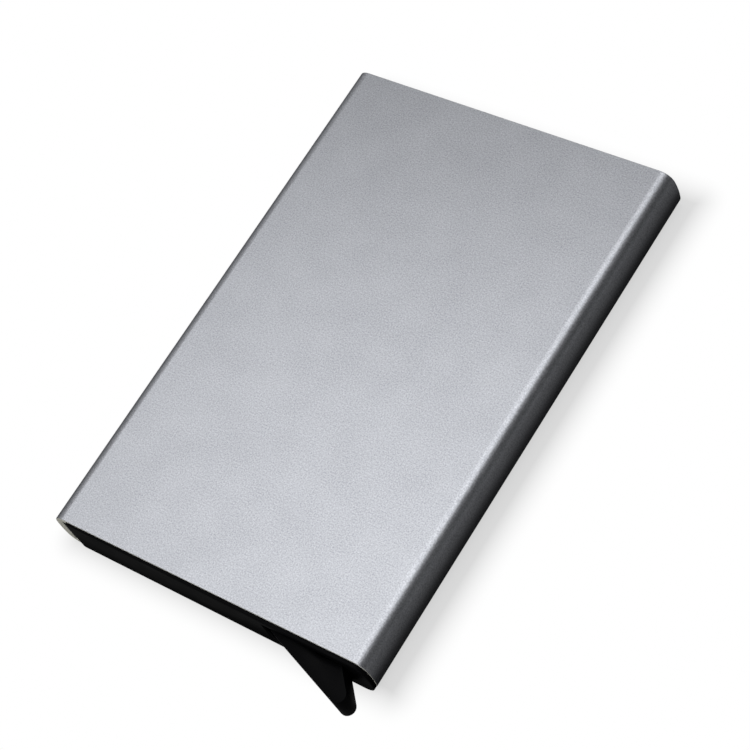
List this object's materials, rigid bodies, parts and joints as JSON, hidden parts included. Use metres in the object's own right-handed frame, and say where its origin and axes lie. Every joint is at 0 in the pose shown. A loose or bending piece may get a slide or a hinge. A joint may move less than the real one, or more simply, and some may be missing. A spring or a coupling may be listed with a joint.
{
  "type": "pop-up card case",
  "caption": "Flat metal card case with a lever at one corner that pushes the cards out of the far end in a staircase.",
  "frame": {"origin": "centre of the sleeve's flat back face", "axes": "+Z out of the front face, +Y along the length towards the mouth that the cards leave by, -Y towards the lever's end, +X towards the side that the lever is on"},
  "size_m": [0.064, 0.1014, 0.0085],
  "materials": {
    "anodised_aluminium": "bead-blasted, clear anodised",
    "black_abs": "moulded, fine matt",
    "black_acetal": "moulded, satin",
    "rail_plastic": "moulded, matt",
    "pin_steel": "ground",
    "grey_felt": "pressed felt"
  },
  "bodies": {
    "case": {"case_sleeve": "anodised_aluminium", "base_frame": "black_abs", "base_cover": "black_abs", "pivot_pin": "pin_steel", "left_guide_rail": "rail_plastic", "right_guide_rail": "rail_plastic", "felt_back_left": "grey_felt", "felt_back_right": "grey_felt", "felt_front_left": "grey_felt", "felt_front_right": "grey_felt"},
    "lever": {"ejector_lever": "black_acetal"}
  },
  "joints": [
    {"name": "lever_pivot", "type": "hinge", "parent": "case", "child": "lever", "pos_m": [0.024, -0.042, 0.00425], "axis": [0, 0, -1], "range_deg": [0, 38]}
  ]
}
